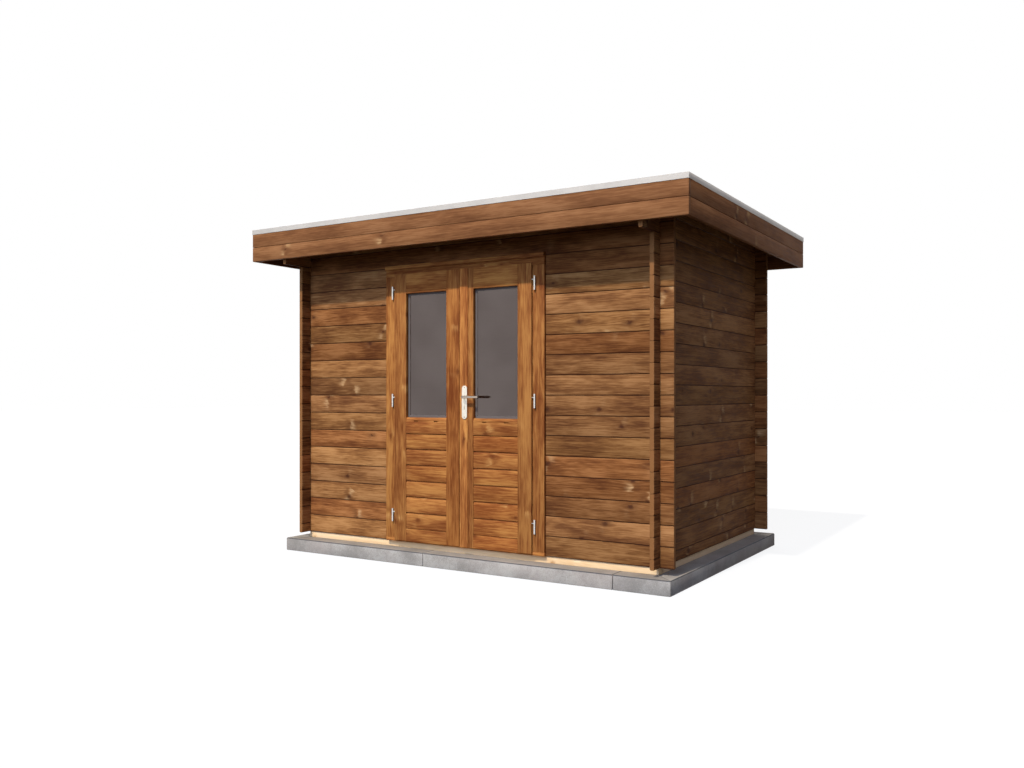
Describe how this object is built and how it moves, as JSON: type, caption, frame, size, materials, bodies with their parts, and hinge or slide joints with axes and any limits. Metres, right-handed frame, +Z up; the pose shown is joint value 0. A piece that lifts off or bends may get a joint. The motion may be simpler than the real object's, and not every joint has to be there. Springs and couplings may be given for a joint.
{
  "type": "garden office pod",
  "caption": "Flat-roofed garden cabin of interlocking log boards on a concrete kerb, with glazed double doors that swing outwards and a sprung lever handle.",
  "frame": {"origin": "on the ground, in the middle of the plan of the roof and the walls", "axes": "+X along the front to the right as seen from outside, +Y from the front to the back, +Z up"},
  "size_m": [3.393, 2.465, 2.372],
  "materials": {
    "concrete": "cast concrete, slightly rough",
    "pale_timber": "planed pine, untreated",
    "floor_timber": "planed pine boards",
    "wall_timber": "planed pine, brown stain",
    "roof_timber": "planed pine, brown stain",
    "membrane": "matt rubber sheet",
    "fascia_timber": "planed pine, brown stain",
    "roof_trim": "satin anodised",
    "frame_timber": "planed pine, golden brown stain",
    "hinge_steel": "zinc plated",
    "door_timber": "planed pine, golden brown stain",
    "door_glass": "clear float glass",
    "handle_plate": "satin nickel",
    "lever_metal": "polished"
  },
  "bodies": {
    "house": {"front_kerb": "concrete", "back_kerb": "concrete", "left_kerb": "concrete", "right_kerb": "concrete", "bearers": "pale_timber", "floor_joists": "pale_timber", "floor_boards": "floor_timber", "front_wall_left": "wall_timber", "front_wall_right": "wall_timber", "front_wall_top": "wall_timber", "back_wall": "wall_timber", "left_wall": "wall_timber", "right_wall": "wall_timber", "left_top_logs": "wall_timber", "right_top_logs": "wall_timber", "roof_joists": "roof_timber", "roof_deck": "roof_timber", "roof_edge_battens": "roof_timber", "roof_membrane": "membrane", "front_fascia": "fascia_timber", "back_fascia": "fascia_timber", "left_fascia": "fascia_timber", "right_fascia": "fascia_timber", "roof_edge_trim": "roof_trim", "door_jamb_left": "frame_timber", "door_jamb_right": "frame_timber", "door_head": "frame_timber", "door_sill": "frame_timber", "door_drip_cap": "frame_timber", "frame_hinges": "hinge_steel"},
    "left_door": {"left_door_hinge_stile": "door_timber", "left_door_lock_stile": "door_timber", "left_door_rails": "door_timber", "left_door_panel": "door_timber", "left_door_glass": "door_glass", "left_door_hinges": "hinge_steel"},
    "right_door": {"right_door_hinge_stile": "door_timber", "right_door_lock_stile": "door_timber", "right_door_rails": "door_timber", "right_door_panel": "door_timber", "right_door_glass": "door_glass", "right_door_hinges": "hinge_steel", "right_door_cover_strip": "door_timber", "handle_plates": "handle_plate"},
    "lever": {"lever_handle": "lever_metal"}
  },
  "joints": [
    {"name": "left_door_hinge", "type": "hinge", "parent": "house", "child": "left_door", "pos_m": [-0.574, -0.979, 1.1], "axis": [0, 0, -1], "range_deg": [0, 160]},
    {"name": "right_door_hinge", "type": "hinge", "parent": "house", "child": "right_door", "pos_m": [0.574, -0.979, 1.1], "axis": [0, 0, 1], "range_deg": [0, 160]},
    {"name": "lever_turn", "type": "hinge", "parent": "right_door", "child": "lever", "pos_m": [0.048, -0.97, 1.141], "axis": [0, 1, 0], "range_deg": [0, 45], "stiffness_Nm_per_rad": 2.5, "springref_deg": -17.19}
  ]
}
